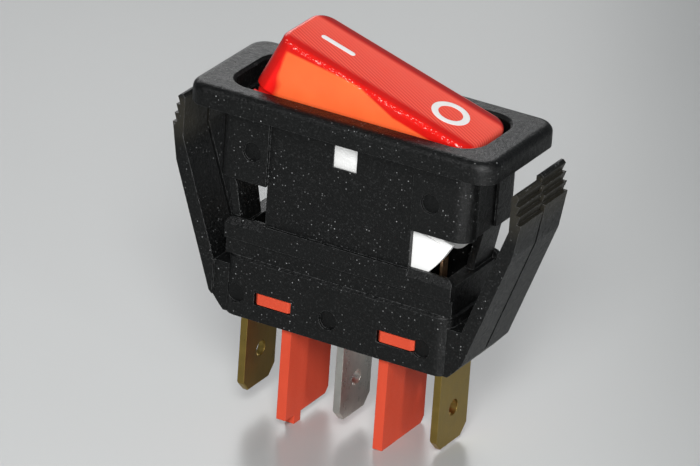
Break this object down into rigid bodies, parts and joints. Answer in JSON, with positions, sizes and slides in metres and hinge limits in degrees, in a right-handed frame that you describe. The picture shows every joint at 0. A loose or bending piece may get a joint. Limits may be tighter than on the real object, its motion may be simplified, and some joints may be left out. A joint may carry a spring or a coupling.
{
  "type": "panel rocker switch",
  "caption": "Lit rocker switch that snaps into a panel cut-out, with push-on tabs, a glow lamp and a see-saw contact.",
  "frame": {"origin": "middle of the bezel's underside, which is the panel's face", "axes": "+X along the bezel to the O end of the rocker, +Z out of the panel to the user, -Y to the long wall that faces the camera in the picture"},
  "size_m": [0.0406, 0.0148, 0.0432],
  "materials": {
    "black_moulding": "fine spark-eroded satin nylon",
    "red_moulding": "satin polyester",
    "white_moulding": "satin acetal",
    "red_lens": "translucent red polycarbonate, glossy",
    "brass": "half-hard brass strip, lightly dulled",
    "silver_plate": "silver-plated strip with sheared edges",
    "silver": "silver contact rivet",
    "spring_bronze": "rolled phosphor bronze",
    "copper_strip": "rolled copper strip",
    "lamp_glass": "clear glass",
    "lamp_wire": "tinned wire",
    "resistor_body": "lacquered ceramic",
    "spring_steel": "drawn spring wire"
  },
  "bodies": {
    "switch_body": {"housing": "black_moulding", "base": "red_moulding", "left_terminal": "brass", "centre_terminal": "silver_plate", "right_terminal": "brass", "fixed_contact": "silver", "lamp_leaf_left": "spring_bronze", "lamp_leaf_right": "spring_bronze"},
    "rocker": {"rocker_lens": "red_lens", "rocker_carrier": "white_moulding", "lamp_glass": "lamp_glass", "lamp_electrodes": "lamp_wire", "lamp_lead_left": "lamp_wire", "lamp_lead_right": "lamp_wire", "series_resistor": "resistor_body", "resistor_lead": "lamp_wire", "lamp_shoe_left": "spring_bronze", "lamp_shoe_right": "spring_bronze", "plunger_spring": "spring_steel"},
    "plunger_pin": {"plunger": "white_moulding"},
    "see_saw": {"contact_bar": "copper_strip", "moving_contact": "silver"}
  },
  "joints": [
    {"name": "rocker_tilt", "type": "hinge", "parent": "switch_body", "child": "rocker", "pos_m": [0, 0, -0.0028], "axis": [0, -1, 0], "range_deg": [0, 32.6]},
    {"name": "see_saw_tilt", "type": "hinge", "parent": "switch_body", "child": "see_saw", "pos_m": [0, 0, -0.01615], "axis": [0, 1, 0], "range_deg": [0, 14]},
    {"name": "plunger_slide", "type": "slide", "parent": "rocker", "child": "plunger_pin", "axis": [0.2807, 0, 0.9598], "range_m": [0, 0.001], "stiffness_N_per_m": 200, "springref_m": -0.0005, "deforming": ["plunger_spring"]}
  ],
  "couplings": [
    {"joint": "see_saw_tilt", "follows": "rocker_tilt", "ratio": 0.4294}
  ]
}
